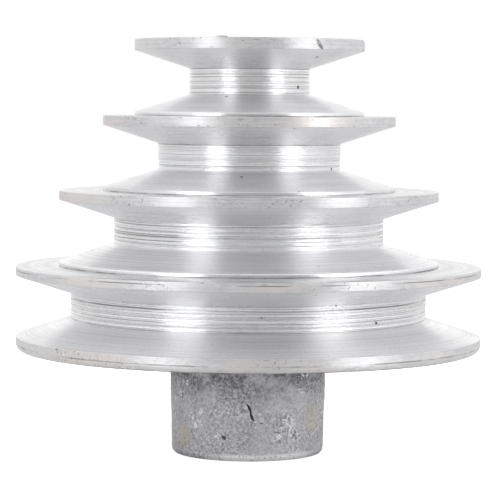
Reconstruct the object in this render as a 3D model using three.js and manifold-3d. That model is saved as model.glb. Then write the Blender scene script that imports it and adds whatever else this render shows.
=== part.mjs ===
// Four-step V-belt pulley: one cored aluminium casting with four turned V grooves and a long hub,
// two socket set screws in the hub, and a parallel key in the keyway of its bore.
//
// Millimetres, +Z up along the bore. The origin is the centre of the hub's end face, on which the
// pulley stands. The steps are numbered from the largest, next to the hub, to the smallest.
import * as THREE from "three";
import { mergeVertices } from "three/addons/utils/BufferGeometryUtils.js";
import Module from "manifold-3d";

const wasm = await Module();
wasm.setup();

// ---- Driving dimensions ----

const CIRCLE_FACETS = 64;
const FILLET_FACETS = 4; // on a quarter circle

// Belt steps
const STEP_DIAMETERS = [150, 122.4, 94.2, 74]; // over the rims
const STEP_PITCH = 24; // from one groove's middle to the next
const GROOVE_FLOOR = 8.2; // width of the flat floor
const GROOVE_DEPTH = 17.7; // from rim to floor
const GROOVE_HALF_ANGLE = THREE.MathUtils.degToRad(18);
const RIM = 3.1; // width of the rim above each groove
const BOTTOM_RIM = 4.5; // width of the rim under the largest groove
const BOTTOM_RIM_RADIUS = 2.3; // cast round on its lower edge
const TOP_RIM = 3.5; // width of the rim over the smallest groove

// Hub and bore
const HUB_LENGTH = 33.5; // from the end face to the underside of the largest step
const HUB_END_DIAMETER = 48.9;
const CAST_DRAFT = THREE.MathUtils.degToRad(1.75);
const HUB_END_FILLET = 1.6;
const BORE_DIAMETER = 24; // IEC frame 90 shaft
const BORE_CHAMFER = 1;

// Cored hollow around the hub
const WALL = 6.6; // under the groove floors
const HOLLOW_ROOF = 76; // height of the hollow's closed end
const HOLLOW_FILLET = 3;
const RIB_COUNT = 4;
const RIB_THICKNESS = 5.5;
const RIB_RECESS = 7; // from the underside of the largest step up to the ribs
const RIB_BITE = 2.4; // how far a rib runs into the walls at each side

// Parallel key, 8 x 7 x 40, round-ended, and its keyway
const KEY_WIDTH = 8;
const KEY_HEIGHT = 7;
const KEY_LENGTH = 40;
const KEY_END_Z = 1; // lower end of the key
const KEYWAY_DEPTH = 3.3; // beyond the bore's wall
const KEY_SIDE_GAP = 0.05;
const KEY_TOP_GAP = 0.2;
const KEY_ANGLE = THREE.MathUtils.degToRad(45); // about the bore, from +X

// M8 cup-point set screws, drawn at the thread's outside diameter
const SCREW_DIAMETER = 7.9;
const SCREW_HOLE_DIAMETER = 8.1;
const SCREW_PITCH = 1.25;
const SCREW_Z = 15;
const SCREW_TIP_GAP = 0.2; // left between the tip and what it clamps, one turn in from rest
const KEY_SCREW_LENGTH = 8;
const SHAFT_SCREW_LENGTH = 10;
const SHAFT_SCREW_ANGLE = THREE.MathUtils.degToRad(135);
const SOCKET_ACROSS_FLATS = 4;
const SOCKET_DEPTH = 4;
const CUP_DIAMETER = 5;
const CUP_DEPTH = 1.2;

// ---- Sizes that follow from them ----

const grooveRise = GROOVE_DEPTH * Math.tan(GROOVE_HALF_ANGLE); // height of one flank
const grooveMouth = GROOVE_FLOOR + 2 * grooveRise;
const firstGrooveZ = HUB_LENGTH + BOTTOM_RIM + grooveMouth / 2;
const stepRadii = STEP_DIAMETERS.map((diameter) => diameter / 2);
const lastGrooveZ = firstGrooveZ + STEP_PITCH * (stepRadii.length - 1);
const totalHeight = lastGrooveZ + grooveMouth / 2 + TOP_RIM;
const boreRadius = BORE_DIAMETER / 2;
const hubEndRadius = HUB_END_DIAMETER / 2;
const hubRadiusAt = (z) => hubEndRadius + z * Math.tan(CAST_DRAFT);
const keyTopRadius = boreRadius + KEYWAY_DEPTH - KEY_TOP_GAP;

// ---- Helpers ----

const point = (x, y) => new THREE.Vector2(x, y);

// Points on a round of the given radius, from one angle to another.
function round(centreX, centreY, radius, from, to) {
  const turns = Math.abs(to - from) / (Math.PI / 2);
  const facets = Math.max(2, Math.round(FILLET_FACETS * turns));
  return Array.from({ length: facets + 1 }, (_, i) => {
    const angle = from + ((to - from) * i) / facets;
    return point(centreX + radius * Math.cos(angle), centreY + radius * Math.sin(angle));
  });
}

// A solid of revolution about Z from a closed outline in (radius, z), listed anticlockwise.
function turned(outline) {
  const geometry = new THREE.LatheGeometry([...outline, outline[0]], CIRCLE_FACETS);
  return geometry.rotateX(Math.PI / 2);
}

// An outline extruded along Z by height, starting at z = 0.
function extruded(outline, height) {
  return new THREE.ExtrudeGeometry(new THREE.Shape(outline), { depth: height, bevelEnabled: false });
}

function toSolid(geometry) {
  const bare = geometry.index ? geometry.toNonIndexed() : geometry.clone();
  bare.deleteAttribute("normal");
  bare.deleteAttribute("uv");
  const merged = mergeVertices(bare, 1e-4);
  return new wasm.Manifold(
    new wasm.Mesh({
      numProp: 3,
      vertProperties: merged.attributes.position.array,
      triVerts: new Uint32Array(merged.index.array),
    }),
  );
}

function toGeometry(solid) {
  const mesh = solid.getMesh();
  const geometry = new THREE.BufferGeometry();
  geometry.setAttribute("position", new THREE.BufferAttribute(mesh.vertProperties, 3));
  geometry.setIndex(new THREE.BufferAttribute(mesh.triVerts, 1));
  return geometry;
}

// ---- The casting ----

// Grooves, rims and lands, from the underside of the largest step to the top face.
function stepOutline() {
  const lowRim = round(
    stepRadii[0] - BOTTOM_RIM_RADIUS,
    HUB_LENGTH + BOTTOM_RIM_RADIUS,
    BOTTOM_RIM_RADIUS,
    -Math.PI / 2,
    0,
  );
  const steps = stepRadii.flatMap((radius, i) => {
    const middle = firstGrooveZ + i * STEP_PITCH;
    const floor = radius - GROOVE_DEPTH;
    const groove = [
      point(radius, middle - grooveMouth / 2),
      point(floor, middle - GROOVE_FLOOR / 2),
      point(floor, middle + GROOVE_FLOOR / 2),
      point(radius, middle + grooveMouth / 2),
    ];
    const last = i === stepRadii.length - 1;
    const rimTop = last ? totalHeight : middle + grooveMouth / 2 + RIM;
    const shoulder = last ? [] : [point(stepRadii[i + 1], rimTop)];
    return [...groove, point(radius, rimTop), ...shoulder];
  });
  return [...lowRim, ...steps];
}

// Bore wall with a chamfer at each end, from the top face to the hub's end face.
function boreOutline() {
  return [
    point(boreRadius + BORE_CHAMFER, totalHeight),
    point(boreRadius, totalHeight - BORE_CHAMFER),
    point(boreRadius, BORE_CHAMFER),
    point(boreRadius + BORE_CHAMFER, 0),
  ];
}

// Walls of the hollow, which opens downwards: hub side, roof, then the stepped inside of the shell.
function hollowOutline() {
  const floor1 = stepRadii[0] - GROOVE_DEPTH;
  const floor2 = stepRadii[1] - GROOVE_DEPTH;
  const wide = floor1 - WALL;
  const narrow = floor2 - WALL;
  const shoulderZ = firstGrooveZ + GROOVE_FLOOR / 2;
  const taper = (z) => (z - HUB_LENGTH) * Math.tan(CAST_DRAFT);
  const roofCentreZ = HOLLOW_ROOF - HOLLOW_FILLET;
  return [
    point(hubRadiusAt(HUB_LENGTH), HUB_LENGTH),
    ...round(hubRadiusAt(roofCentreZ) + HOLLOW_FILLET, roofCentreZ, HOLLOW_FILLET, Math.PI, Math.PI / 2),
    ...round(narrow - HOLLOW_FILLET, roofCentreZ, HOLLOW_FILLET, Math.PI / 2, 0),
    point(narrow, shoulderZ + grooveRise),
    point(wide - taper(shoulderZ), shoulderZ - 1),
    point(wide, HUB_LENGTH),
  ];
}

// The rounded edge of the hub's end face.
function hubEndOutline() {
  const centreRadius = hubRadiusAt(HUB_END_FILLET) - HUB_END_FILLET;
  return round(centreRadius, HUB_END_FILLET, HUB_END_FILLET, -Math.PI / 2, 0);
}

// One rib across the hollow, along +X, in a slab centred on the XZ plane.
function ribSolid() {
  const floor1 = stepRadii[0] - GROOVE_DEPTH;
  const floor2 = stepRadii[1] - GROOVE_DEPTH;
  const shoulderZ = firstGrooveZ + GROOVE_FLOOR / 2;
  const inner = hubRadiusAt(HUB_LENGTH) - RIB_BITE;
  const outline = [
    point(inner, HUB_LENGTH + RIB_RECESS),
    point(floor1 - WALL + RIB_BITE, HUB_LENGTH + RIB_RECESS),
    point(floor1 - WALL + RIB_BITE, shoulderZ),
    point(floor2 - WALL + RIB_BITE, shoulderZ + grooveRise),
    point(floor2 - WALL + RIB_BITE, HOLLOW_ROOF + RIB_BITE),
    point(inner, HOLLOW_ROOF + RIB_BITE),
  ];
  const slab = extruded(outline, RIB_THICKNESS).translate(0, 0, -RIB_THICKNESS / 2);
  return toSolid(slab.rotateX(Math.PI / 2));
}

// The slot that the key lies in, cut along the whole bore, on the +X side.
function keywaySolid() {
  const overrun = 1;
  const height = totalHeight + 2 * overrun;
  const depth = boreRadius + KEYWAY_DEPTH;
  const slot = new THREE.BoxGeometry(depth, KEY_WIDTH + 2 * KEY_SIDE_GAP, height);
  return toSolid(slot.translate(depth / 2, 0, totalHeight / 2));
}

// A screw hole from the bore out through the hub's wall, along +X.
function screwHoleSolid() {
  const reach = hubRadiusAt(SCREW_Z) + 2 - boreRadius / 2;
  const hole = new THREE.CylinderGeometry(SCREW_HOLE_DIAMETER / 2, SCREW_HOLE_DIAMETER / 2, reach, 32);
  return toSolid(hole.rotateZ(-Math.PI / 2).translate(boreRadius / 2 + reach / 2, 0, SCREW_Z));
}

function casting() {
  const outline = [...hubEndOutline(), ...hollowOutline(), ...stepOutline(), ...boreOutline()];
  let solid = toSolid(turned(outline));
  const degrees = THREE.MathUtils.radToDeg;
  for (let i = 0; i < RIB_COUNT; i += 1) {
    solid = solid.add(ribSolid().rotate([0, 0, degrees(KEY_ANGLE) + (360 * i) / RIB_COUNT]));
  }
  solid = solid.subtract(keywaySolid().rotate([0, 0, degrees(KEY_ANGLE)]));
  for (const angle of [KEY_ANGLE, SHAFT_SCREW_ANGLE]) {
    solid = solid.subtract(screwHoleSolid().rotate([0, 0, degrees(angle)]));
  }
  return toGeometry(solid);
}

// ---- Loose pieces, made with the tip or top towards -X and placed by a turned group ----

// A cup-point set screw along X, with its tip at x = 0 and its socket at the far end.
function setScrew(length) {
  const radius = SCREW_DIAMETER / 2;
  const cup = CUP_DIAMETER / 2;
  const chamfer = radius - cup;
  const outline = [
    point(0, CUP_DEPTH),
    point(cup, 0),
    point(radius, chamfer),
    point(radius, length - chamfer / 2),
    point(radius - chamfer / 2, length),
    point(0, length),
  ];
  const shank = new THREE.LatheGeometry(outline, 32);
  const socket = new THREE.CylinderGeometry(
    SOCKET_ACROSS_FLATS / Math.sqrt(3),
    SOCKET_ACROSS_FLATS / Math.sqrt(3),
    2 * SOCKET_DEPTH,
    6,
  ).translate(0, length, 0);
  const solid = toSolid(shank).subtract(toSolid(socket));
  return toGeometry(solid).rotateZ(-Math.PI / 2);
}

// The key along Z with round ends, its top face outwards at x = 0.
function parallelKey() {
  const width = KEY_WIDTH - 2 * KEY_SIDE_GAP;
  const half = width / 2;
  const straight = KEY_LENGTH / 2 - half;
  const outline = [
    ...round(0, straight, half, 0, Math.PI),
    ...round(0, -straight, half, Math.PI, 2 * Math.PI),
  ];
  return extruded(outline, KEY_HEIGHT)
    .translate(0, 0, -KEY_HEIGHT)
    .rotateX(Math.PI / 2)
    .rotateZ(Math.PI / 2);
}

// ---- Assembly ----

const castAluminium = new THREE.MeshStandardMaterial({ color: 0xd9dadc, roughness: 0.35, metalness: 1 });
const blackSteel = new THREE.MeshStandardMaterial({ color: 0x26272a, roughness: 0.45, metalness: 1 });
const brightSteel = new THREE.MeshStandardMaterial({ color: 0xb4b4b2, roughness: 0.4, metalness: 1 });

function piece(name, geometry, material) {
  const mesh = new THREE.Mesh(geometry, material);
  mesh.name = name;
  return mesh;
}

const pulley = new THREE.Group();
pulley.add(piece("pulley_casting", casting(), castAluminium));

const keySide = new THREE.Group();
keySide.rotation.z = KEY_ANGLE;
const key = piece("shaft_key", parallelKey(), brightSteel);
key.position.set(keyTopRadius, 0, KEY_END_Z + KEY_LENGTH / 2);
const keyScrew = piece("set_screw_over_key", setScrew(KEY_SCREW_LENGTH), blackSteel);
keyScrew.position.set(keyTopRadius + SCREW_TIP_GAP + SCREW_PITCH, 0, SCREW_Z);
keySide.add(key, keyScrew);

const openSide = new THREE.Group();
openSide.rotation.z = SHAFT_SCREW_ANGLE;
const shaftScrew = piece("set_screw_on_shaft", setScrew(SHAFT_SCREW_LENGTH), blackSteel);
shaftScrew.position.set(boreRadius + SCREW_TIP_GAP + SCREW_PITCH, 0, SCREW_Z);
openSide.add(shaftScrew);

pulley.add(keySide, openSide);

export default pulley;
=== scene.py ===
"""A four-step V-belt pulley in cast aluminium, turned bright on its steps and left rough on its hub.

The casting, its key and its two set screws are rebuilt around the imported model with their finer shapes:
turning marks, cast skin, broken edges, threads and sockets. Lengths named in millimetres are turned to
metres where a mesh is made.
"""

import math

import bmesh
import bpy
import numpy as np
from mathutils import Matrix, Vector, noise


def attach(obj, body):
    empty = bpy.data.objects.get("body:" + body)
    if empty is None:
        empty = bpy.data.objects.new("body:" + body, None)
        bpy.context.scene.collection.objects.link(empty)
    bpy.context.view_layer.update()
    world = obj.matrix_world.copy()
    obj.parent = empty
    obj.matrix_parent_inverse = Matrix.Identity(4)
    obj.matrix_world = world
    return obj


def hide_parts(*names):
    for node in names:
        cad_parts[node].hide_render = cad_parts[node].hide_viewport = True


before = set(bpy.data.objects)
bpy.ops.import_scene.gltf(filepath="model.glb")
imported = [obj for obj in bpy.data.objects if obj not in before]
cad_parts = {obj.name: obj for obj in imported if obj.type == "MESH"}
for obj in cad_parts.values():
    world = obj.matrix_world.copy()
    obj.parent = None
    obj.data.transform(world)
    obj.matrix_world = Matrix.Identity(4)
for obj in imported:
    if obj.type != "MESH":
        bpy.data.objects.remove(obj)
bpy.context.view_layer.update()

MM = 0.001
TAU = 2 * math.pi
scene = bpy.context.scene

# ---- The pulley's sizes, in millimetres, as its frame has them ----

STEP_RADII = (75.0, 61.2, 47.1, 37.0)
STEP_PITCH = 24.0
GROOVE_FLOOR = 8.2
GROOVE_DEPTH = 17.7
GROOVE_RISE = GROOVE_DEPTH * math.tan(math.radians(18))
RIM = 3.1
TOP_RIM = 3.5
BOTTOM_RIM = 4.5
BOTTOM_RIM_FILLET = 2.3
HUB_LENGTH = 33.5
HUB_END_RADIUS = 24.45
HUB_END_FILLET = 1.6
CAST_DRAFT = math.tan(math.radians(1.75))
BORE_RADIUS = 12.0
BORE_CHAMFER = 1.0
WALL = 6.6  # of metal between a groove's floor and the hollow
HOLLOW_ROOF = 76.0
RIBS = 4
RIB_THICKNESS = 5.5
RIB_RECESS = 7.0
RIB_BITE = 2.4
KEY_ANGLE = math.radians(45)
SHAFT_SCREW_ANGLE = math.radians(135)
KEYWAY_WIDTH = 8.1
KEYWAY_DEPTH = 3.3
SCREW_Z = 15.0
THREAD_PITCH = 1.25

MOUTH = GROOVE_FLOOR + 2 * GROOVE_RISE
FIRST_GROOVE_Z = HUB_LENGTH + BOTTOM_RIM + MOUTH / 2
TOP_STEP = len(STEP_RADII) - 1
TOTAL_HEIGHT = FIRST_GROOVE_Z + TOP_STEP * STEP_PITCH + MOUTH / 2 + TOP_RIM
GROOVE_Z = [FIRST_GROOVE_Z + STEP_PITCH * i for i in range(len(STEP_RADII))]

# The hollow narrows from WIDE to NARROW above the shoulder, inside the largest step's upper flank
SHOULDER = GROOVE_Z[0] + GROOVE_FLOOR / 2
WIDE = STEP_RADII[0] - GROOVE_DEPTH - WALL
NARROW = STEP_RADII[1] - GROOVE_DEPTH - WALL

# The casting's material slots, in the order in which its materials are given
FLOOR, RIM_SKIN, CAST, BORED, UPPER_FLANK, LOWER_FLANK, LAND, UNDERCUT_METAL, PIT = range(9)


def hub_radius(z):
    return HUB_END_RADIUS + z * CAST_DRAFT


def hollow_reach(z):
    """The radius that takes in the whole of the hollow's wall at each height."""
    return np.interp(z, (SHOULDER, SHOULDER + GROOVE_RISE + 1), (WIDE, NARROW)) + 1.5


def rgb(red, green, blue):
    return (red, green, blue, 1.0)


# ---- Node helpers ----

SPOT_CORE, LINE_CORE = 0.35, 0.4  # the share of a spot or line that is fully marked
RADIUS_SHARE = 0.83  # of the axis distance in a length along the outline


class Tree:
    """A material's node tree, with short calls for the nodes used here."""

    def __init__(self, name):
        self.material = bpy.data.materials.new(name)
        self.material.use_nodes = True
        self.nodes = self.material.node_tree.nodes
        self.links = self.material.node_tree.links
        self.shader = self.nodes["Principled BSDF"]

    @classmethod
    def of_world(cls, world):
        tree = cls.__new__(cls)
        tree.nodes, tree.links = world.node_tree.nodes, world.node_tree.links
        return tree

    def node(self, kind, inputs=(), **settings):
        made = self.nodes.new("ShaderNode" + kind)
        for key, value in settings.items():
            setattr(made, key, value)
        for key, value in dict(inputs).items():
            self.feed(made.inputs[key], value)
        return made

    def feed(self, socket, value):
        if isinstance(value, bpy.types.NodeSocket):
            self.links.new(value, socket)
        else:
            socket.default_value = value

    def math(self, operation, a, b=0.0):
        made = self.node("Math", operation=operation)
        self.feed(made.inputs[0], a)
        self.feed(made.inputs[1], b)
        return made.outputs[0]

    def spread(self, value, low, high, to_low=0.0, to_high=1.0):
        """Maps value from low..high to to_low..to_high, clamped and eased."""
        made = self.node("MapRange", interpolation_type="SMOOTHSTEP")
        for socket, number in zip(made.inputs[:5], (value, low, high, to_low, to_high)):
            self.feed(socket, number)
        return made.outputs[0]

    def mix(self, factor, a, b):
        made = self.node("Mix", data_type="RGBA")
        self.feed(made.inputs[0], factor)
        self.feed(made.inputs[6], a)
        self.feed(made.inputs[7], b)
        return made.outputs[2]

    def ramp(self, factor, stops):
        """A grey tone looked up from (position, tone) pairs."""
        made = self.node("ValToRGB", {0: factor})
        elements = made.color_ramp.elements
        elements.remove(elements[1])
        elements[0].position, elements[0].color = stops[0][0], rgb(*[stops[0][1]] * 3)
        for position, tone in stops[1:]:
            elements.new(position).color = rgb(*[tone] * 3)
        return made.outputs[0]

    def noise(self, vector, scale, detail=2.0, roughness=0.5, distortion=0.0):
        inputs = {"Vector": vector, "Scale": scale, "Detail": detail,
                  "Roughness": roughness, "Distortion": distortion}
        return self.node("TexNoise", inputs).outputs[0]

    def noise_1d(self, where, scale, detail=1.0):
        inputs = {"W": where, "Scale": scale, "Detail": detail}
        return self.node("TexNoise", inputs, noise_dimensions="1D").outputs[0]

    def place(self):
        return self.node("TexCoord").outputs["Object"]

    def stretched(self, place, across, height):
        """Coordinates in which noise is drawn out: smaller numbers give longer marks."""
        inputs = {0: place, 1: (across, across, height)}
        return self.node("VectorMath", inputs, operation="MULTIPLY").outputs[0]

    def spot(self, place, turn, radius, height, reach):
        """1 near a point, fading out to 0 at reach. turn is degrees round from the camera's side."""
        angle = math.radians(turn)
        centre = (radius * math.sin(angle) * MM, -radius * math.cos(angle) * MM, height * MM)
        away = self.node("VectorMath", {0: place, 1: centre}, operation="DISTANCE").outputs["Value"]
        return self.spread(away, reach * MM, SPOT_CORE * reach * MM)

    def line(self, height, level, width):
        """1 on a level line of the given width, in millimetres, and 0 off it."""
        off = self.math("ABSOLUTE", self.math("SUBTRACT", height, level * MM))
        return self.spread(off, width * MM, LINE_CORE * width * MM)

    def along_profile(self, place):
        """A length that grows steadily along the outline, from the axis distance and the height."""
        x, y, z = self.node("SeparateXYZ", {0: place}).outputs
        radius = self.math("SQRT", self.math("ADD", self.math("MULTIPLY", x, x), self.math("MULTIPLY", y, y)))
        return self.math("ADD", z, self.math("MULTIPLY", radius, RADIUS_SHARE))

    def bump(self, height, distance, strength=1.0):
        inputs = {"Height": height, "Distance": distance, "Strength": strength}
        return self.node("Bump", inputs).outputs[0]

    def finish(self, **sockets):
        for name, value in sockets.items():
            self.feed(self.shader.inputs[name.replace("_", " ")], value)
        return self.material

    def turn_grain(self):
        """Stretches the gloss across the turning marks, which run round the Z axis."""
        tangent = self.node("Tangent", direction_type="RADIAL", axis="Z").outputs[0]
        self.feed(self.shader.inputs["Tangent"], tangent)


# ---- Materials ----

# Heights of the seams on the two rims of the largest step, in millimetres. The lower seam bounds the
# bottom rim's paler rounded edge.
BAND_LEVELS = (35.7, 59.5)

# Dark flecks on the turned surfaces: degrees round from the camera's side, radius, height and reach
FLECKS = (
    (-19.4, 21.7, 115.0, 0.7), (-3.9, 34.2, 90.2, 0.75), (-83.4, 50.3, 65.5, 1.1), (62.8, 29.4, 92.2, 0.7),
    (-81.8, 43.5, 74.6, 0.8), (43.2, 57.3, 45.9, 0.7), (52.7, 19.3, 118.1, 0.8), (-70.7, 26.6, 126.3, 0.6),
    (44.2, 30.1, 127.5, 0.9), (-88.0, 32.5, 111.5, 0.7), (88.0, 30.2, 112.2, 0.9), (150.0, 45.0, 100.0, 0.8),
    (-140.0, 55.0, 64.0, 0.9), (120.0, 60.0, 42.5, 0.8),
)


def turned_aluminium(name, tones, haze, rough, ridges, grain, scores):
    """Bright turned metal: fine rings, broader tool chatter, hazy patches and dark specks.

    tones are the darkest and brightest rings, haze the patches' colour, rough the least and most
    roughness, ridges the height of the rings in metres, grain how far the gloss is drawn out across
    them, and scores how dark the deepest tool marks are.
    """
    tree = Tree(name)
    place = tree.place()
    wander = tree.math("MULTIPLY", tree.noise(place, 25), 0.0006)
    along = tree.math("ADD", tree.along_profile(place), wander)
    fine = tree.noise_1d(along, 3400, 1)
    middle = tree.noise_1d(along, 1150, 2)
    broad = tree.noise_1d(along, 300, 1)
    patches = tree.noise(place, 60, 3)
    arcs = tree.math("MULTIPLY", tree.spread(tree.noise_1d(along, 2600), 0.55, 0.66),
                     tree.spread(tree.noise(place, 40, 2), 0.36, 0.52))
    sand = tree.noise(place, 1300, 2, 0.7)
    specks = tree.noise(place, 620, 1)
    rings = tree.math("ADD", tree.math("MULTIPLY", fine, 0.6), middle)
    color = tree.mix(tree.spread(rings, 0.5, 1.05), *[rgb(*tone) for tone in tones])
    color = tree.mix(tree.spread(patches, 0.45, 0.75, 0, 0.5), color, rgb(*haze))
    color = tree.mix(tree.spread(sand, 0.50, 0.66, 0, 0.22), color, rgb(0.45, 0.45, 0.46))
    color = tree.mix(tree.math("MULTIPLY", arcs, scores), color, rgb(0.36, 0.355, 0.36))
    color = tree.mix(tree.spread(specks, 0.79, 0.815), color, rgb(0.20, 0.19, 0.18))
    for turn, radius, height, reach in FLECKS:
        color = tree.mix(tree.spot(place, turn, radius, height, reach), color, rgb(0.07, 0.07, 0.07))
    least, most = rough
    roughness = tree.math("ADD", tree.spread(broad, 0.3, 0.7, least, most),
                          tree.spread(patches, 0.4, 0.7, 0, 0.04))
    tree.turn_grain()
    return tree.finish(
        Base_Color=color, Metallic=1.0, Roughness=roughness, Anisotropic=grain, Anisotropic_Rotation=0.25,
        Normal=tree.bump(rings, ridges),
    )


def rim_skin():
    """The rims' outsides: scuffed and pitted, with faint turning marks and warm stains."""
    tree = Tree("scuffed_rim")
    place = tree.place()
    height = tree.node("SeparateXYZ", {0: place}).outputs[2]
    rings = tree.noise_1d(tree.along_profile(place), 1900, 2)
    pits = tree.noise(place, 1150, 3, 0.65)
    scuffs = tree.noise(tree.stretched(place, 1, 3.5), 300, 5, 0.75, 0.2)
    zones = tree.noise(place, 38, 2)
    stains = tree.noise(place, 30, 2)
    gaps = tree.noise(place, 70, 3, 0.6)
    worn = tree.spread(zones, 0.42, 0.62)
    color = tree.mix(tree.spread(scuffs, 0.30, 0.70), rgb(0.67, 0.67, 0.687), rgb(0.90, 0.90, 0.917))
    color = tree.mix(tree.spread(rings, 0.35, 0.65, 0.35, 0), color, rgb(0.55, 0.55, 0.56))
    color = tree.mix(tree.spread(stains, 0.50, 0.68, 0, 0.6), color, rgb(0.86, 0.80, 0.765))
    band = tree.spread(height, BAND_LEVELS[0] * MM, (BAND_LEVELS[0] - 0.3) * MM)
    paler = tree.math("MULTIPLY", band, tree.spread(scuffs, 0.35, 0.65, 0.15, 0.5))
    color = tree.mix(paler, color, rgb(0.88, 0.87, 0.84))
    for level in BAND_LEVELS:
        seam = tree.math("MULTIPLY", tree.line(height, level, 0.26), tree.spread(gaps, 0.40, 0.62, 0, 0.8))
        color = tree.mix(seam, color, rgb(0.25, 0.245, 0.24))
    marks = tree.math("MULTIPLY", worn, tree.spread(pits, 0.60, 0.68))
    color = tree.mix(marks, color, rgb(0.26, 0.25, 0.24))
    color = tree.mix(tree.math("MULTIPLY", worn, tree.spread(pits, 0.37, 0.30)), color, rgb(0.98, 0.97, 0.95))
    rough = tree.math("ADD", tree.spread(scuffs, 0.3, 0.7, 0.40, 0.48), tree.math("MULTIPLY", worn, 0.05))
    relief = tree.math("ADD", tree.math("MULTIPLY", rings, 0.6), tree.math("MULTIPLY", pits, worn))
    relief = tree.math("ADD", relief, tree.math("MULTIPLY", scuffs, 0.7))
    tree.turn_grain()
    return tree.finish(
        Base_Color=color, Metallic=1.0, Roughness=rough, Anisotropic=0.9, Anisotropic_Rotation=0.25,
        Normal=tree.bump(relief, 0.00012, 0.5),
    )


def undercut_metal():
    """The tool's narrow grooves at the roots, darkened in patches: painted shade in the creases."""
    tree = Tree("undercut_metal")
    shade_patches = tree.noise(tree.place(), 60, 4, 0.7)
    color = tree.mix(tree.spread(shade_patches, 0.40, 0.64), rgb(0.78, 0.78, 0.79), rgb(0.42, 0.42, 0.42))
    tree.turn_grain()
    return tree.finish(
        Base_Color=color, Metallic=1.0, Roughness=0.24, Anisotropic=0.9, Anisotropic_Rotation=0.25,
        Normal=tree.bump(shade_patches, 0.0001, 0.4),
    )


def pit_shade():
    """The insides of knocks, pits and cracks, painted near-black and without gloss: painted shade."""
    tree = Tree("pit_shade")
    shade_patches = tree.noise(tree.place(), 700, 3, 0.6)
    color = tree.mix(tree.spread(shade_patches, 0.35, 0.65), rgb(0.008, 0.008, 0.008), rgb(0.05, 0.05, 0.05))
    return tree.finish(
        Base_Color=color, Roughness=0.9, Specular_IOR_Level=0.1, Normal=tree.bump(shade_patches, 0.0001, 0.4),
    )


# Stains and scrapes on the hub: degrees round from the camera's side, radius, height and reach
CAST_STAINS = ((-55, 24.8, 7.0, 5.5), (58, 24.9, 12.5, 6.5), (150, 24.9, 12, 6))
CAST_SCRAPES = (
    (31, 24.8, 11.5, 4.2), (24, 24.8, 8, 3.4), (37, 24.8, 8.5, 3.0), (-44, 24.8, 13.5, 2.2),
    (-36, 24.8, 12.2, 1.8), (-22.5, 24.7, 7.8, 2.0), (-19.5, 24.6, 5.6, 1.3), (-52, 25.1, 24.0, 2.6),
    (-57, 25.1, 20.0, 2.2), (45, 25.2, 27, 3.2), (4, 24.8, 12.2, 1.7), (-0.6, 25.0, 17.0, 1.0),
    (0.6, 24.9, 15.0, 0.9), (7, 24.8, 11, 1.3), (-160, 24.8, 11, 4), (95, 25.0, 20, 3),
)


def cast_skin():
    """As-cast aluminium: dull grey and grainy, with painted shade up under the largest step and a painted
    highlight along its lower edge on the camera's side.
    """
    tree = Tree("cast_skin")
    place = tree.place()
    height = tree.node("SeparateXYZ", {0: place}).outputs[2]
    grain = tree.noise(place, 1350, 2, 0.7)
    lumps = tree.noise(place, 900, 5, 0.75, 0.5)
    drag = tree.noise(tree.stretched(place, 1, 0.25), 800, 3, 0.6, 0.8)
    clouds = tree.noise(place, 105, 4, 0.65)
    zones = tree.noise(place, 95, 2, 0.6)
    sparks = tree.noise(place, 1000, 2, 0.6)
    color = tree.mix(tree.spread(lumps, 0.34, 0.68), rgb(0.34, 0.34, 0.36), rgb(0.76, 0.755, 0.79))
    color = tree.mix(tree.spread(grain, 0.51, 0.64, 0, 0.66), color, rgb(0.96, 0.96, 0.98))
    color = tree.mix(tree.spread(grain, 0.47, 0.35, 0, 0.60), color, rgb(0.12, 0.12, 0.13))
    color = tree.mix(tree.spread(drag, 0.5, 0.7, 0, 0.5), color, rgb(0.66, 0.66, 0.68))
    color = tree.mix(tree.spread(clouds, 0.44, 0.64, 0, 0.5), color, rgb(0.74, 0.735, 0.81))
    color = tree.mix(tree.spread(zones, 0.42, 0.64, 0, 0.3), color, rgb(0.51, 0.505, 0.485))
    # Painted shade: darker towards the top of the hub, under the largest step, and in a patch at 46 degrees
    # round, broken up by the clouds and lumps
    under_step_shade = tree.math("MULTIPLY", tree.spread(height, 16 * MM, 31 * MM, 0.0, 0.97),
                     tree.spread(clouds, 0.66, 0.44))
    corner = tree.math("MULTIPLY", tree.spot(place, 46, 25.2, 30, 8), 0.85)
    under_step_shade = tree.math("MULTIPLY", tree.math("MAXIMUM", under_step_shade, corner), tree.spread(lumps, 0.62, 0.40, 0.3, 1))
    color = tree.mix(under_step_shade, color, rgb(0.085, 0.085, 0.09))
    for turn, radius, level, reach in CAST_STAINS:
        stain = tree.math("MULTIPLY", tree.spot(place, turn, radius, level, reach),
                          tree.spread(lumps, 0.3, 0.7, 0.25, 0.65))
        color = tree.mix(stain, color, rgb(0.68, 0.60, 0.49))
    scraped = tree.spread(zones, 0.66, 0.72)
    for turn, radius, level, reach in CAST_SCRAPES:
        scraped = tree.math("MAXIMUM", scraped, tree.spot(place, turn, radius, level, reach))
    sparkle = tree.math("MULTIPLY", tree.spread(sparks, 0.53, 0.59), scraped)
    color = tree.mix(sparkle, color, rgb(0.97, 0.97, 0.98))
    shadow = tree.math("MULTIPLY", tree.spread(sparks, 0.42, 0.37), scraped)
    color = tree.mix(tree.math("MULTIPLY", shadow, 0.7), color, rgb(0.14, 0.14, 0.145))
    # Painted highlight: a bright line along the hub's lower edge, on the camera's side only
    edge_highlight = tree.math("MULTIPLY", tree.spread(height, 2.7 * MM, 1.7 * MM), tree.spot(place, 14, 24, 0.5, 25))
    edge_highlight = tree.math("MULTIPLY", edge_highlight, tree.spread(sparks, 0.30, 0.46))
    color = tree.mix(edge_highlight, color, rgb(0.98, 0.98, 0.99))
    relief = tree.math("ADD", tree.math("MULTIPLY", grain, 0.5), lumps)
    return tree.finish(
        Base_Color=color, Metallic=0.85, Roughness=tree.spread(lumps, 0.3, 0.7, 0.44, 0.60),
        Normal=tree.bump(relief, 0.0005, 0.7),
    )


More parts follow.
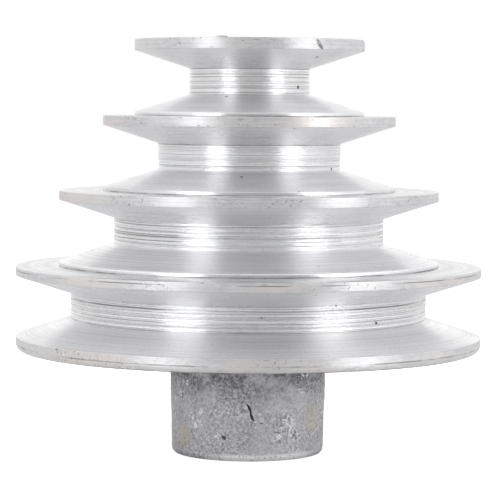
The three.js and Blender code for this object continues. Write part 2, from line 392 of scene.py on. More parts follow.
def bored_aluminium():
    """The bore and keyway: machined, a little duller than the steps."""
    tree = Tree("bored_aluminium")
    place = tree.place()
    rings = tree.noise_1d(tree.along_profile(place), 2200, 2)
    patches = tree.noise(place, 120, 2)
    color = tree.mix(tree.spread(patches, 0.35, 0.7), rgb(0.72, 0.72, 0.73), rgb(0.84, 0.84, 0.85))
    return tree.finish(
        Base_Color=color, Metallic=1.0, Roughness=tree.spread(rings, 0.3, 0.7, 0.28, 0.4),
        Normal=tree.bump(rings, 0.00006, 0.6),
    )


def black_oxide():
    """Black-oxided alloy steel, oily and slightly worn where it is handled."""
    tree = Tree("black_oxide")
    place = tree.place()
    grain = tree.noise(place, 1800, 3)
    wear = tree.noise(place, 500, 3, 0.6)
    color = tree.mix(tree.spread(wear, 0.5, 0.75, 0, 0.5), rgb(0.035, 0.036, 0.04), rgb(0.17, 0.16, 0.15))
    return tree.finish(
        Base_Color=color, Metallic=1.0, Roughness=tree.spread(grain, 0.3, 0.7, 0.32, 0.5),
        Normal=tree.bump(grain, 0.00004, 0.5),
    )


def drawn_steel():
    """Bright drawn key steel, with fine marks along its length."""
    tree = Tree("drawn_steel")
    place = tree.place()
    lines = tree.noise(tree.stretched(place, 1, 0.06), 2600, 2)
    stains = tree.noise(place, 180, 3)
    color = tree.mix(tree.spread(lines, 0.3, 0.7), rgb(0.50, 0.49, 0.47), rgb(0.66, 0.65, 0.63))
    color = tree.mix(tree.spread(stains, 0.58, 0.72, 0, 0.6), color, rgb(0.36, 0.30, 0.24))
    return tree.finish(
        Base_Color=color, Metallic=1.0, Roughness=tree.spread(lines, 0.3, 0.7, 0.25, 0.38),
        Normal=tree.bump(lines, 0.00003, 0.6),
    )


# ---- Mesh helpers, in millimetres until a mesh is made ----

FILLET_SPACING = 0.45  # between the points round a fillet
FINEST_FILLET = 0.3  # fillets below this radius get as many points as one of this radius


def add_object(name, data):
    made = bpy.data.objects.new(name, data)
    scene.collection.objects.link(made)
    return made


def mesh_object(name, points, faces):
    mesh = bpy.data.meshes.new(name)
    mesh.from_pydata((np.asarray(points, float) * MM).tolist(), [], faces)
    mesh.update()
    return add_object(name, mesh)


def object_of(name, shape):
    """Turns a bmesh into an object and frees it."""
    mesh = bpy.data.meshes.new(name)
    shape.to_mesh(mesh)
    shape.free()
    return add_object(name, mesh)


def prism(corners, sweep):
    """A bmesh of the flat face through corners, swept along sweep."""
    shape = bmesh.new()
    face = shape.faces.new([shape.verts.new([c * MM for c in corner]) for corner in corners])
    swept = bmesh.ops.extrude_face_region(shape, geom=[face])
    moved = [v for v in swept["geom"] if isinstance(v, bmesh.types.BMVert)]
    bmesh.ops.translate(shape, verts=moved, vec=[c * MM for c in sweep])
    bmesh.ops.recalc_face_normals(shape, faces=shape.faces)
    return shape


def round_edges(shape, edges, radius, segments):
    bmesh.ops.bevel(shape, geom=edges, offset=radius * MM, segments=segments, profile=0.5, affect="EDGES")


def give_materials(made, materials):
    made.data.materials.clear()
    for material in materials:
        made.data.materials.append(material)


def ring_grid(columns, rows):
    """Quads of a revolved closed outline: rows run along the outline, columns round the axis."""
    row, column = np.meshgrid(np.arange(rows), np.arange(columns), indexing="ij")
    next_row, next_column = (row + 1) % rows, (column + 1) % columns
    quads = [row * columns + column, row * columns + next_column,
             next_row * columns + next_column, next_row * columns + column]
    return np.stack([q.ravel() for q in quads], axis=1).tolist()


def revolve(outline, angles):
    """Turns closed outline points (radius, z) about the Z axis."""
    outline = np.asarray(outline)
    radius, z = outline[:, 0][:, None], outline[:, 1][:, None]
    ones = np.ones_like(angles)[None, :]
    return np.stack([radius * np.cos(angles)[None, :], radius * np.sin(angles)[None, :], z * ones], axis=2)


def rounded_outline(corners):
    """Fine points on a closed outline. Each corner is (radius, z, fillet, spacing to the next corner)."""
    count = len(corners)
    shape = np.array([c[:2] for c in corners], float)
    cuts = []
    for i, (_, _, fillet, _) in enumerate(corners):
        before, here, after = shape[i - 1], shape[i], shape[(i + 1) % count]
        a, b = before - here, after - here
        a, b = a / np.linalg.norm(a), b / np.linalg.norm(b)
        half = math.acos(max(-1.0, min(1.0, float(a @ b)))) / 2
        if fillet == 0 or half > math.radians(89):
            cuts.append([here])
            continue
        reach = fillet / math.tan(half)
        centre = here + (a + b) / np.linalg.norm(a + b) * fillet / math.sin(half)
        start, end = here + a * reach - centre, here + b * reach - centre
        sweep = math.pi - 2 * half
        turn = math.copysign(sweep, start[0] * end[1] - start[1] * end[0])
        steps = max(2, math.ceil(sweep * max(fillet, FINEST_FILLET) / FILLET_SPACING))
        arc = []
        for k in range(steps + 1):
            c, s = math.cos(turn * k / steps), math.sin(turn * k / steps)
            arc.append(centre + np.array([c * start[0] - s * start[1], s * start[0] + c * start[1]]))
        cuts.append(arc)
    points = []
    for i in range(count):
        points.extend(cuts[i])
        start, end = cuts[i][-1], cuts[(i + 1) % count][0]
        steps = max(1, round(float(np.linalg.norm(end - start)) / corners[i][3]))
        points.extend(start + (end - start) * k / steps for k in range(1, steps))
    return np.array(points)


def outline_normals(outline):
    """Unit normals of a closed outline listed anticlockwise, pointing out of the metal."""
    along = np.roll(outline, -1, axis=0) - np.roll(outline, 1, axis=0)
    normals = np.stack([along[:, 1], -along[:, 0]], axis=1)
    return normals / np.linalg.norm(normals, axis=1)[:, None]


def boolean(target, cutter, operation):
    """Cuts or joins two closed meshes and drops the second."""
    step = target.modifiers.new("step", "BOOLEAN")
    step.operation = operation
    step.object = cutter
    step.solver = "MANIFOLD"
    graph = bpy.context.evaluated_depsgraph_get()
    mesh = bpy.data.meshes.new_from_object(target.evaluated_get(graph))
    target.modifiers.clear()
    old, target.data = target.data, mesh
    bpy.data.meshes.remove(old)
    mesh.name = target.name
    bpy.data.objects.remove(cutter)


def smooth(made, degrees):
    made.data.polygons.foreach_set("use_smooth", [True] * len(made.data.polygons))
    made.data.set_sharp_from_angle(angle=math.radians(degrees))
    made.data.update()


def turn_about_z(made, angle):
    made.data.transform(Matrix.Rotation(angle, 4, "Z"))


def lumpiness(points, scale, seed):
    """Smooth noise between -1 and 1 at each point; scale is the size of a lump in millimetres."""
    shift = Vector((seed * 17.3, seed * 5.1, seed * 9.7))
    return np.array([noise.noise(Vector(p) / scale + shift) for p in points])


# ---- The casting ----

CASTING_COLUMNS = 150
THREAD_ROWS = 10  # of points in each turn of a thread
FLOOR_SPACING = 0.19  # between the turning marks on a groove's floor
UNDERCUT = 0.14  # depth of the tool's groove at the foot of each step
WAVES = (0.30, 0.18, 0.16, 0.08)  # unevenness of each groove's floor
LAND_FALL = 0.35  # drop of the largest step's upper land towards its rim
CAST_SETBACK = 0.08  # moves the cast surfaces in, so that few of their lumps stand proud

# Fillets on the rims' edges, on the lips at the feet of the upper steps, at the top of each groove's
# floor and on the bore's chamfers
RIM_EDGE, LIP_EDGE, GROOVE_ROOT, CHAMFER_EDGE = 0.18, 0.34, 0.4, 0.15

RIDGE_SHARE, RIDGE_HEIGHTS = 0.22, (0.03, 0.08)  # of the sharp ridges among a floor's marks
LOWEST_MARK, HIGHEST_MARK = -0.36, 0.30  # limits of the marks on a floor
FLOOR_JITTER, FLANK_JITTER = 0.010, 0.008  # spread of the fine marks' heights


def casting_corners():
    """Corners of the casting's outline, anticlockwise from the inner edge of the hub's end face."""
    corners = [
        (BORE_RADIUS + BORE_CHAMFER, 0, CHAMFER_EDGE, 2.4),
        (hub_radius(0), 0, HUB_END_FILLET, 0.62),
        (hub_radius(HUB_LENGTH), HUB_LENGTH, 0, 1.6),
        (hub_radius(HOLLOW_ROOF), HOLLOW_ROOF, 3, 1.6),
        (NARROW, HOLLOW_ROOF, 3, 1.6),
        (NARROW, SHOULDER + GROOVE_RISE, 1.5, 1.6),
        (WIDE - (SHOULDER - HUB_LENGTH) * CAST_DRAFT, SHOULDER - 1, 1.5, 1.6),
        (WIDE, HUB_LENGTH, 0.8, 2.0),
        (STEP_RADII[0], HUB_LENGTH, BOTTOM_RIM_FILLET, 0.5),
    ]
    for i, radius in enumerate(STEP_RADII):
        middle, floor = GROOVE_Z[i], radius - GROOVE_DEPTH
        low, high = middle - GROOVE_FLOOR / 2, middle + GROOVE_FLOOR / 2
        top = TOTAL_HEIGHT if i == TOP_STEP else middle + MOUTH / 2 + RIM
        corners += [
            (radius, middle - MOUTH / 2, RIM_EDGE if i == 0 else LIP_EDGE, 1.2),
            (floor, low, 0, 0.1),
            (floor, low + 0.1, 0, FLOOR_SPACING),
            (floor, high - 0.35, 0, 0.1),
            (floor, high, GROOVE_ROOT, 1.2),
            (radius, middle + MOUTH / 2, RIM_EDGE, 0.55),
            (radius, top - (LAND_FALL if i == 0 else 0), RIM_EDGE, 1.8),
        ]
        if i < TOP_STEP:
            land = STEP_RADII[i + 1]
            corners += [
                (land + 2 * UNDERCUT, top, 0, 0.3),
                (land - 1.5 * UNDERCUT, top - UNDERCUT, 0, 0.3),
                (land - UNDERCUT, top + UNDERCUT, 0, 0.3),
                (land, top + 1.5 * UNDERCUT, 0, 0.5),
            ]
    corners += [
        (BORE_RADIUS + BORE_CHAMFER, TOTAL_HEIGHT, CHAMFER_EDGE, 0.7),
        (BORE_RADIUS, TOTAL_HEIGHT - BORE_CHAMFER, CHAMFER_EDGE, 7.0),
        (BORE_RADIUS, BORE_CHAMFER, CHAMFER_EDGE, 0.7),
    ]
    return corners


def smoothed(values, width):
    return np.convolve(values, np.ones(width) / width, "same")


def turning_marks(outline):
    """Height of the rings that the tool left, at each outline point."""
    rng = np.random.default_rng(11)
    radius, z = outline[:, 0], outline[:, 1]
    height = np.zeros(len(outline))
    for i, step in enumerate(STEP_RADII):
        from_floor = radius - (step - GROOVE_DEPTH)
        from_middle = np.abs(z - GROOVE_Z[i])
        on_floor = (np.abs(from_floor) < 0.02) & (from_middle < GROOVE_FLOOR / 2 - 0.08)
        count = on_floor.sum()
        ridges = np.where(rng.random(count) < RIDGE_SHARE, rng.uniform(*RIDGE_HEIGHTS, count), 0.0)
        ridges += smoothed(rng.normal(0, WAVES[i], count), 6) + rng.normal(0, FLOOR_JITTER, count)
        height[on_floor] = np.clip(ridges, LOWEST_MARK, HIGHEST_MARK)
        on_flank = (from_middle < MOUTH / 2 - 0.4) & (from_floor > 0.6) & (radius < step - 0.3)
        height[on_flank] += rng.normal(0, FLANK_JITTER, on_flank.sum())
    return height


def casting_body():
    """The turned and cored body before its ribs, with unevenness on its cast surfaces."""
    outline = rounded_outline(casting_corners())
    normals = outline_normals(outline)
    outline = outline + normals * turning_marks(outline)[:, None]
    angles = np.arange(CASTING_COLUMNS) * TAU / CASTING_COLUMNS
    points = revolve(outline, angles)
    out = revolve(normals, angles)
    radius, z = outline[:, 0], outline[:, 1]
    cast = (z > 0.3) & (z < HOLLOW_ROOF + 0.1) & (radius > BORE_RADIUS + 1.2) & (radius < hollow_reach(z))
    rows = np.flatnonzero(cast)
    flat = points[rows].reshape(-1, 3)
    push = 0.16 * lumpiness(flat, 6.5, 1) + 0.10 * lumpiness(flat, 2.2, 2)
    points[rows] += out[rows] * (push.reshape(len(rows), -1, 1) - CAST_SETBACK)
    return mesh_object("pulley_cast_body", points.reshape(-1, 3), ring_grid(CASTING_COLUMNS, len(outline)))


def rib(angle):
    """A cast rib across the hollow, in a slab that runs into the walls."""
    inner, low, high = hub_radius(HUB_LENGTH) - RIB_BITE, HUB_LENGTH + RIB_RECESS, HOLLOW_ROOF + RIB_BITE
    wide, narrow = WIDE + RIB_BITE, NARROW + RIB_BITE
    side = [(inner, low), (wide, low), (wide, SHOULDER), (narrow, SHOULDER + GROOVE_RISE),
            (narrow, high), (inner, high)]
    shape = prism([(x, -RIB_THICKNESS / 2, z) for x, z in side], (0, RIB_THICKNESS, 0))
    lower = [e for e in shape.edges if all(abs(v.co.z - low * MM) < 1e-6 for v in e.verts)]
    round_edges(shape, lower, 1.2, 3)
    made = object_of("rib", shape)
    turn_about_z(made, angle)
    return made


def box(name, low, high):
    corners = [(x, y, z) for x in (low[0], high[0]) for y in (low[1], high[1]) for z in (low[2], high[2])]
    faces = [(0, 1, 3, 2), (4, 6, 7, 5), (0, 4, 5, 1), (2, 3, 7, 6), (0, 2, 6, 4), (1, 5, 7, 3)]
    return mesh_object(name, corners, faces)


def threaded_rod(name, length, crest, depth, columns, ends):
    """A solid with a thread round it, along Z from 0. ends gives the largest radius at a height."""
    rows = int(length / THREAD_PITCH * THREAD_ROWS) + 1
    heights = np.linspace(0, length, rows)
    angles = np.arange(columns) * TAU / columns
    z, a = np.meshgrid(heights, angles, indexing="ij")
    # Straight flanks between flats on the crest and the root
    phase = (z / THREAD_PITCH - a / TAU) % 1.0
    radius = crest - depth * np.clip(np.abs(phase - 0.5) * 2 * 1.25 - 0.125, 0, 1)
    radius = np.minimum(radius, ends(z))
    points = np.stack([radius * np.cos(a), radius * np.sin(a), z], axis=2).reshape(-1, 3)
    steps = [(c, (c + 1) % columns) for c in range(columns)]
    faces = []
    for row in range(rows - 1):
        here, above = row * columns, (row + 1) * columns
        faces += [(here + c, here + d, above + d, above + c) for c, d in steps]
    first, last = len(points), len(points) + 1
    points = np.vstack([points, [[0, 0, 0], [0, 0, length]]])
    top = (rows - 1) * columns
    faces += [(first, d, c) for c, d in steps] + [(last, top + c, top + d) for c, d in steps]
    return mesh_object(name, points, faces)


def lay_outward(made, angle, radius, z):
    """Lays a piece made along Z so that it points out from the axis, with its z = 0 end at radius."""
    place = (Matrix.Rotation(angle, 4, "Z") @ Matrix.Translation((radius * MM, 0, z * MM))
             @ Matrix.Rotation(math.pi / 2, 4, "Y"))
    made.data.transform(place)


# Knocks, pits and cracks: degrees round from the camera's side, radius, height, length, width, depth,
# tilt in degrees, and bend. A tilt of 0 lies along the rim. Marks that overlap are next to each other in
# this list, because alternate marks are cut in separate steps.
GOUGES = (
    (35.8, 37.0, 131.2, 4.2, 1.9, 1.50, -52, 0.0),  # the smallest rim
    (-18.5, 37.0, 130.1, 1.6, 0.5, 0.35, 0, 0.0),
    (-28.0, 37.0, 132.7, 0.9, 0.5, 0.30, 0, 0.0),
    (-24.0, 37.0, 132.9, 1.0, 0.6, 0.30, 20, 0.0),
    (3.0, 37.0, 132.4, 2.4, 0.5, 0.25, 0, 0.0),
    (11.0, 37.0, 132.5, 1.8, 0.4, 0.25, 4, 0.0),
    (-3.5, 37.0, 132.1, 1.6, 0.4, 0.25, -10, 0.1),
    (66.0, 37.0, 131.5, 1.2, 0.5, 0.30, 60, 0.0),
    (88.0, 36.7, 133.3, 16.0, 2.6, 1.30, 0, 0.0),
    (-88.0, 36.9, 133.4, 12.0, 2.4, 1.10, 0, 0.0),
    (-26.4, 47.1, 108.4, 0.9, 0.6, 0.35, 0, 0.0),  # the second rim
    (-19.0, 47.1, 106.0, 1.5, 0.5, 0.35, 8, 0.0),
    (-15.5, 47.1, 105.9, 1.3, 0.5, 0.30, -8, 0.0),
    (-11.4, 47.1, 108.1, 0.8, 0.6, 0.30, 0, 0.0),
    (-3.0, 47.1, 107.9, 2.2, 0.5, 0.30, 14, 0.1),
    (9.5, 47.1, 106.4, 0.8, 0.5, 0.30, 0, 0.0),
    (48.0, 47.1, 107.0, 1.1, 0.5, 0.30, 70, 0.0),
    (-31.6, 61.2, 83.5, 1.7, 1.0, 0.45, 80, 0.2),  # the third rim
    (-16.0, 61.2, 84.3, 0.9, 0.5, 0.30, 0, 0.0),
    (-9.4, 61.2, 84.4, 1.2, 0.5, 0.30, 10, 0.0),
    (10.6, 61.2, 83.8, 0.9, 0.8, 0.40, 30, 0.0),
    (12.2, 61.2, 83.9, 1.3, 0.7, 0.40, -10, 0.0),
    (13.6, 61.2, 84.0, 0.8, 0.6, 0.35, 0, 0.0),
    (14.8, 61.2, 83.8, 1.2, 0.6, 0.35, 20, 0.0),
    (16.3, 61.2, 84.1, 1.0, 0.7, 0.35, -30, 0.0),
    (14.0, 61.2, 82.5, 0.7, 0.6, 0.30, 0, 0.0),
    (-22.8, 75.0, 59.1, 1.2, 0.9, 0.35, 0, 0.0),  # the largest step's upper rim
    (-10.4, 75.0, 60.2, 1.4, 0.5, 0.30, 0, 0.0),
    (3.6, 75.0, 59.9, 2.4, 0.5, 0.25, 2, 0.0),
    (22.2, 75.0, 60.1, 0.8, 0.6, 0.35, 80, 0.0),
    (23.4, 75.0, 58.6, 1.5, 0.8, 0.40, 75, 0.2),
    (25.6, 75.0, 59.6, 0.9, 0.6, 0.30, 30, 0.0),
    (-51.0, 75.0, 37.7, 1.6, 0.7, 0.40, 0, 0.0),  # the largest step's lower rim
    (-37.2, 75.0, 36.9, 1.5, 1.0, 0.40, -50, 0.1),
    (4.2, 75.0, 37.6, 2.6, 0.4, 0.25, 0, 0.0),
    (8.6, 75.0, 37.0, 0.9, 0.6, 0.30, 80, 0.0),
    (29.4, 75.0, 35.0, 1.8, 0.8, 0.35, 0, 0.0),
    (38.0, 75.0, 34.8, 1.6, 0.7, 0.35, 10, 0.0),
    (1.4, 24.9, 17.0, 3.8, 0.95, 2.60, -66, -0.2),  # the hub: a shrinkage crack and pits
    (3.0, 24.9, 14.3, 3.2, 1.15, 2.60, -66, 0.2),
    (-17.8, 24.7, 7.6, 1.8, 1.5, 3.50, -40, 0.0),
    (10.2, 24.8, 12.3, 0.9, 1.1, 0.80, 0, 0.0),
    (15.2, 24.8, 12.8, 0.9, 0.9, 0.70, 60, 0.0),
    (26.0, 24.8, 11.6, 1.2, 0.7, 0.50, -30, 0.0),
    (29.0, 24.8, 9.2, 1.0, 0.6, 0.50, 50, 0.1),
    (32.0, 24.8, 13.0, 1.6, 0.7, 0.60, -35, 0.0),
    (47.0, 25.1, 30.6, 4.2, 1.1, 0.60, 12, 0.3),
    (128.0, 24.9, 20.5, 2.2, 0.8, 0.60, 65, 0.3),  # round the back
    (-140.0, 24.8, 9.5, 1.4, 1.0, 0.60, 10, 0.0),
    (165.0, 61.2, 83.2, 1.8, 0.7, 0.40, 30, 0.0),
    (-120.0, 75.0, 59.0, 2.0, 0.8, 0.40, 50, 0.0),
    (110.0, 75.0, 36.8, 1.6, 0.9, 0.40, -40, 0.0),
    (-95.0, 47.1, 107.0, 1.4, 0.6, 0.35, 40, 0.0),
)
BURR = (-13.6, 36.7, 133.25, 4.2, 0.8, 0.75, 0, 0.0)  # thrown up on the smallest rim's top edge


def spindles(name, marks, outward, material_index):
    """Closed slivers, pointed at both ends, sunk into the surface or standing out of it."""
    stations = (-1.0, -0.8, -0.45, 0.0, 0.45, 0.8, 1.0)  # sections along a sliver, from end to end
    points, faces = [], []
    for turn, radius, z, length, width, depth, tilt, bend in marks:
        along = np.array([0.0, math.cos(math.radians(tilt)), math.sin(math.radians(tilt))])
        across = np.array([0.0, -along[2], along[1]])
        face, deep = (-0.15, depth) if outward else (0.5, -depth)
        cos, sin = math.cos(math.radians(turn - 90)), math.sin(math.radians(turn - 90))
        spin = np.array([[cos, -sin, 0], [sin, cos, 0], [0, 0, 1]])
        first = len(points)
        for t in stations:
            swell = math.sqrt(max(0.02, 1 - t * t))
            centre = along * t * length / 2 + across * bend * t * t
            flat = [np.array([face, 0, 0]) + across * side * width / 2 for side in (swell, -swell)]
            peak = np.array([deep * swell, 0, 0]) + across * 0.15 * width * swell
            for corner in flat + [peak]:
                points.append(spin @ (centre + corner + [radius, 0, 0]) + [0, 0, z])
        for k in range(len(stations) - 1):
            a, b = first + 3 * k, first + 3 * (k + 1)
            faces += [(a + i, a + (i + 1) % 3, b + (i + 1) % 3, b + i) for i in range(3)]
        last = first + 3 * (len(stations) - 1)
        faces += [(first + 2, first + 1, first), (last, last + 1, last + 2)]
    made = mesh_object(name, points, faces)
    tidy = bmesh.new()
    tidy.from_mesh(made.data)
    bmesh.ops.recalc_face_normals(tidy, faces=tidy.faces)
    tidy.to_mesh(made.data)
    tidy.free()
    made.data.polygons.foreach_set("material_index", [material_index] * len(made.data.polygons))
    return made


# The set screws' tapped holes: where their cutters start, inside the bore, and the cutters' length; the
# thread's outer radius and depth; and the countersink's radius at the hub's surface
HOLE_START, HOLE_LENGTH = 6.0, 21.0
HOLE_ROOT, HOLE_THREAD = 4.42, 0.36
HOLE_MOUTH = 4.3
HOLE_COLUMNS = 40


def hole_limit(z):
    """The largest radius of a tapped hole, z along its cutter: the thread opens into the countersink."""
    return np.maximum(HOLE_ROOT - HOLE_THREAD, HOLE_MOUTH + (z - (hub_radius(SCREW_Z) - HOLE_START)))


def build_casting(materials):
    """The finished casting. materials are in the order of the slot numbers at the top."""
    body = casting_body()
    for k in range(RIBS):
        boolean(body, rib(KEY_ANGLE + k * TAU / RIBS), "UNION")
    reach, half = BORE_RADIUS + KEYWAY_DEPTH, KEYWAY_WIDTH / 2
    keyway = box("keyway", (0, -half, -1), (reach, half, TOTAL_HEIGHT + 1))
    turn_about_z(keyway, KEY_ANGLE)
    boolean(body, keyway, "DIFFERENCE")
    for angle in (KEY_ANGLE, SHAFT_SCREW_ANGLE):
        hole = threaded_rod("hole", HOLE_LENGTH, HOLE_ROOT, HOLE_THREAD, HOLE_COLUMNS, hole_limit)
        lay_outward(hole, angle, HOLE_START, SCREW_Z)
        boolean(body, hole, "DIFFERENCE")
    give_materials(body, materials)
    paint_regions(body.data)
    for name, marks, outward, finish, operation in (
        ("gouges", GOUGES[0::2], False, PIT, "DIFFERENCE"),
        ("more_gouges", GOUGES[1::2], False, PIT, "DIFFERENCE"),
        ("burr", (BURR,), True, RIM_SKIN, "UNION"),
    ):
        sliver = spindles(name, marks, outward, finish)
        give_materials(sliver, materials)
        boolean(body, sliver, operation)
    smooth(body, 38)
    return body


def paint_regions(mesh):
    """Gives each face its finish by where it lies on the outline; a later line overrules an earlier one."""
    count = len(mesh.polygons)
    centre = np.empty(count * 3)
    normal = np.empty(count * 3)
    mesh.polygons.foreach_get("center", centre)
    mesh.polygons.foreach_get("normal", normal)
    centre, normal = centre.reshape(-1, 3) / MM, normal.reshape(-1, 3)
    radius, z = np.hypot(centre[:, 0], centre[:, 1]), centre[:, 2]
    index = np.full(count, LOWER_FLANK)
    for i, step in enumerate(STEP_RADII):
        floor, from_middle = step - GROOVE_DEPTH, z - GROOVE_Z[i]
        half_floor, half_mouth = GROOVE_FLOOR / 2, MOUTH / 2
        top = half_mouth + (TOP_RIM if i == TOP_STEP else RIM)
        above_floor = (from_middle > half_floor) & (from_middle < half_mouth + 0.05)
        index[above_floor & (radius < step)] = UPPER_FLANK
        on_floor = (radius < floor + 0.3) & (np.abs(from_middle) < half_floor)
        index[on_floor] = FLOOR
        beside_rim = (from_middle > half_mouth - 0.05) & (from_middle < top + 0.05)
        index[beside_rim & (radius > step - 0.3)] = RIM_SKIN
        if i < TOP_STEP:
            land = STEP_RADII[i + 1]
            foot = (np.abs(radius - land) < 1.5 * UNDERCUT) & (np.abs(from_middle - top) < 1.5 * UNDERCUT)
            index[(np.abs(from_middle - top) < 0.5) & (radius > land) & (radius < step - 0.1)] = LAND
            index[foot] = UNDERCUT_METAL
            lip = (from_middle > top + 1.5 * UNDERCUT) & (from_middle < STEP_PITCH - half_mouth - 0.3)
            index[lip & (np.abs(radius - land) < 0.3)] = LAND
    index[(radius > STEP_RADII[0] - 2.5) & (z < HUB_LENGTH + BOTTOM_RIM + 0.05)] = RIM_SKIN
    index[(radius < hollow_reach(z)) & (z < HOLLOW_ROOF + 0.6) & (z > 0.25)] = CAST
    index[(np.abs(normal[:, 2]) > 0.9) & (z < HUB_LENGTH + 0.3) & (radius > 40)] = CAST
    index[(normal[:, 2] > 0.9) & (z > TOTAL_HEIGHT - 0.3)] = LAND
    index[(radius < BORE_RADIUS + KEYWAY_DEPTH + 0.1) & (normal[:, 2] < 0.9)] = BORED
    index[z < 0.25] = BORED
    mesh.polygons.foreach_set("material_index", index.astype(np.int32))


# ---- Loose pieces ----

SCREW_COLUMNS, CUP_COLUMNS = 48, 40
SCREW_CREST, SCREW_THREAD = 3.92, 0.62
TIP_RADIUS, HEAD_RADIUS, HEAD_CHAMFER = 2.5, 3.95, 0.6
SOCKET_ACROSS, SOCKET_DEPTH = 4.0, 4.0
CUP_OUTLINE = ((0.001, 1.3), (0.001, -1), (3.4, -1), (2.15, 0.05), (1.0, 0.9))  # of the tool that cuts it
TIP_GAP = 1.45  # between a set screw's tip and what it clamps on, at rest

KEY_WIDTH, KEY_HEIGHT, KEY_LENGTH = 7.9, 7.0, 40.0
KEY_LOW = 1.0  # height of its lower end
KEY_TOP = BORE_RADIUS + KEYWAY_DEPTH - 0.2  # distance of its outer face from the axis
KEY_EDGE = 0.3


def set_screw(name, length, tip_radius, angle, material):
    """M8 cup-point socket set screw, its tip towards the bore."""

    def ends(z):
        tip = TIP_RADIUS + z
        head = HEAD_RADIUS - np.maximum(0, z - (length - HEAD_CHAMFER))
        return np.minimum(tip, head)

    screw = threaded_rod(name, length, SCREW_CREST, SCREW_THREAD, SCREW_COLUMNS, ends)
    hexagon = bmesh.new()
    corner = SOCKET_ACROSS / math.sqrt(3) * MM
    bmesh.ops.create_cone(hexagon, cap_ends=True, segments=6, radius1=corner, radius2=corner,
                          depth=2 * SOCKET_DEPTH * MM)
    socket = object_of("socket", hexagon)
    socket.data.transform(Matrix.Translation((0, 0, length * MM)))
    boolean(screw, socket, "DIFFERENCE")
    cup = revolve(CUP_OUTLINE, np.arange(CUP_COLUMNS) * TAU / CUP_COLUMNS)
    dish = mesh_object("cup", cup.reshape(-1, 3), ring_grid(CUP_COLUMNS, len(CUP_OUTLINE)))
    boolean(screw, dish, "DIFFERENCE")
    lay_outward(screw, angle, tip_radius, SCREW_Z)
    give_materials(screw, [material])
    smooth(screw, 32)
    return screw


def shaft_key(material):
    """Round-ended parallel key, 8 x 7 x 40, with broken edges."""
    half, bottom = KEY_WIDTH / 2, KEY_TOP - KEY_HEIGHT
    ring = []
    for centre, start in ((KEY_LENGTH / 2 - half, 0.0), (half - KEY_LENGTH / 2, math.pi)):
        for k in range(15):
            turn = start + math.pi * k / 14
            ring.append((half * math.cos(turn), centre + half * math.sin(turn)))
    shape = prism([(bottom, y, z + KEY_LOW + KEY_LENGTH / 2) for y, z in ring], (KEY_HEIGHT, 0, 0))
    flats = [KEY_TOP * MM, bottom * MM]
    edges = [e for e in shape.edges if any(all(abs(v.co.x - x) < 1e-7 for v in e.verts) for x in flats)]
    round_edges(shape, edges, KEY_EDGE, 2)
    made = object_of("key_body", shape)
    turn_about_z(made, KEY_ANGLE)
    give_materials(made, [material])
    smooth(made, 35)
    return made


# ---- Assembly ----

black = black_oxide()
casting = build_casting([
    turned_aluminium("turned_floors", ((0.70, 0.70, 0.71), (0.97, 0.97, 0.98)), (0.87, 0.875, 0.905),
                     (0.22, 0.27), 0.00024, 0.95, 1.0),
    rim_skin(),
    cast_skin(),
    bored_aluminium(),
    # The upper flanks, which face down, are given darker tones than the lower flanks, which face up: painted
    # shade on the same turned metal
    turned_aluminium("turned_upper_flanks", ((0.79, 0.79, 0.805), (0.88, 0.88, 0.89)), (0.81, 0.815, 0.85),
                     (0.26, 0.30), 0.00040, 1.0, 0.25),
    turned_aluminium("turned_lower_flanks", ((0.92, 0.92, 0.935), (0.98, 0.98, 0.99)), (0.93, 0.935, 0.965),
                     (0.30, 0.36), 0.00006, 0.95, 0.25),
    turned_aluminium("faced_lands", ((0.66, 0.66, 0.67), (0.84, 0.84, 0.85)), (0.75, 0.755, 0.78),
                     (0.22, 0.28), 0.00002, 0.5, 0.3),
    undercut_metal(),
    pit_shade(),
])
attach(casting, "pulley")
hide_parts("pulley_casting")

key = shaft_key(drawn_steel())
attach(key, "key")
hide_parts("shaft_key")

key_screw = set_screw("key_screw_body", 8.0, KEY_TOP + TIP_GAP, KEY_ANGLE, black)
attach(key_screw, "key_screw")
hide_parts("set_screw_over_key")

shaft_screw = set_screw("shaft_screw_body", 10.0, BORE_RADIUS + TIP_GAP, SHAFT_SCREW_ANGLE, black)
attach(shaft_screw, "shaft_screw")
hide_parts("set_screw_on_shaft")

# ---- Studio ----

CAMERA_LENS = 172.15
CAMERA_ROLL = 0.36  # in degrees
CAMERA_PLACE, CAMERA_TARGET = (0.00045, -0.772, 0.1135), (0.00045, 0.0, 0.0655)  # in metres
LIGHT_TARGET = (0, 0, 0.07)


def aim(made, target):
    """Turns a lamp or camera at made.location so that it looks at target."""
    made.rotation_euler = (Vector(target) - made.location).to_track_quat("-Z", "Y").to_euler()


def camera():
    data = bpy.data.cameras.new("camera")
    data.lens = CAMERA_LENS
    data.sensor_width = 36.0
    data.clip_start, data.clip_end = 0.01, 20.0
    made = add_object("camera", data)
    made.location = CAMERA_PLACE
    aim(made, CAMERA_TARGET)
    roll = Matrix.Rotation(math.radians(CAMERA_ROLL), 4, "Z")
    made.matrix_world = made.matrix_basis.copy() @ roll
    scene.camera = made


def softbox(name, azimuth, elevation, distance, width, height, strength):
    """A rectangular lamp aimed at the pulley, its distance and size in metres.

    Azimuth 0 is the camera's side, and positive is to the right.
    """
    data = bpy.data.lights.new(name, "AREA")
    data.shape = "RECTANGLE"
    data.size, data.size_y = width, height
    data.energy = strength * width * height * math.pi
    made = add_object(name, data)
    a, e = math.radians(azimuth), math.radians(elevation)
    made.location = Vector((math.sin(a) * math.cos(e), -math.cos(a) * math.cos(e), math.sin(e))) * distance
    made.location.z += LIGHT_TARGET[2]
    made.visible_camera = False
    aim(made, LIGHT_TARGET)


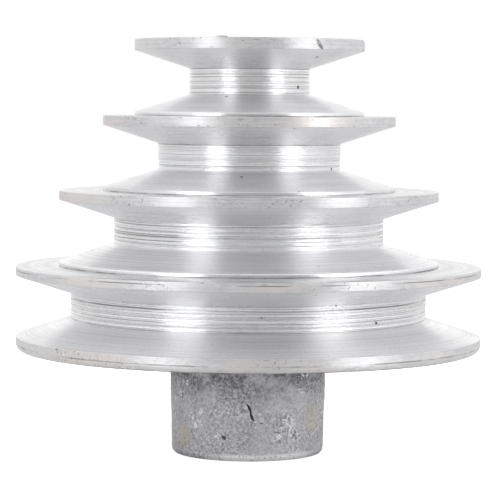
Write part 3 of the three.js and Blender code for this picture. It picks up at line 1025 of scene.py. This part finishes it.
# Brightness of the room round the pulley by azimuth in degrees, 0 being the camera's side: at the
# pulley's own height, and higher up towards the ceiling
WALL_TONES = [
    (-180, 1.10), (-165, 1.05), (-130, 0.91), (-105, 0.87), (-80, 1.06), (-60, 1.13), (-34, 0.82),
    (-22, 0.56), (-8, 0.465), (0, 0.42), (14, 0.435), (33, 0.385), (44, 0.74), (75, 1.62), (115, 1.06),
    (150, 1.03), (180, 1.10),
]
CEILING_TONES = [
    (-180, 0.88), (-140, 0.90), (-110, 1.08), (-50, 1.16), (-32, 0.95), (-22, 0.74), (0, 0.73),
    (27, 0.74), (37, 1.0), (50, 1.20), (110, 1.08), (140, 0.90), (180, 0.88),
]
# The sines of the elevations between which the walls fade into the ceiling, and the ceiling into the
# zone overhead
CEILING = math.sin(math.radians(4)), math.sin(math.radians(22))
OVERHEAD = math.sin(math.radians(48)), math.sin(math.radians(72))
OVERHEAD_TONE = 1.1
FLOOR_REACH = 4000  # in millimetres
FLOOR_GLOW, FLOOR_GLOW_SEEN = 0.10, 0.75  # the paper's own glow, and what it adds for the camera


def surroundings():
    """The room seen in the metal, grey behind the camera and white elsewhere; the camera sees only white."""
    world = bpy.data.worlds.new("studio")
    world.use_nodes = True
    tree = Tree.of_world(world)
    x, y, z = tree.node("SeparateXYZ", {0: tree.node("TexCoord").outputs["Generated"]}).outputs
    turn = tree.math("ARCTAN2", x, tree.math("MULTIPLY", y, -1.0))
    share = tree.node("MapRange", {0: turn, 1: -math.pi, 2: math.pi}).outputs[0]
    walls, ceiling = [tree.ramp(share, [((d + 180) / 360, t) for d, t in tones])
                      for tones in (WALL_TONES, CEILING_TONES)]
    room = tree.mix(tree.spread(z, *CEILING), walls, ceiling)
    room = tree.mix(tree.spread(z, *OVERHEAD), room, rgb(*[OVERHEAD_TONE] * 3))
    seen = tree.node("LightPath").outputs["Is Camera Ray"]
    tree.feed(tree.nodes["Background"].inputs["Color"], tree.mix(seen, room, rgb(1, 1, 1)))
    scene.world = world


def studio():
    surroundings()
    scene.view_settings.view_transform = "Standard"
    r = FLOOR_REACH
    floor = mesh_object("floor", [(-r, -r, 0), (r, -r, 0), (r, r, 0), (-r, r, 0)], [(0, 1, 2, 3)])
    tree = Tree("floor_paper")
    seen = tree.node("LightPath").outputs["Is Camera Ray"]
    glow = tree.math("ADD", tree.math("MULTIPLY", seen, FLOOR_GLOW_SEEN), FLOOR_GLOW)
    tree.finish(
        Base_Color=rgb(0.65, 0.65, 0.65), Roughness=0.9,
        Emission_Color=rgb(1, 1, 1), Emission_Strength=glow,
    )
    floor.data.materials.append(tree.material)
    softbox("left_softbox", -40, 3, 1.1, 0.46, 0.56, 2.4)
    softbox("right_softbox", 54, 3, 1.1, 0.45, 0.56, 2.5)


camera()
studio()
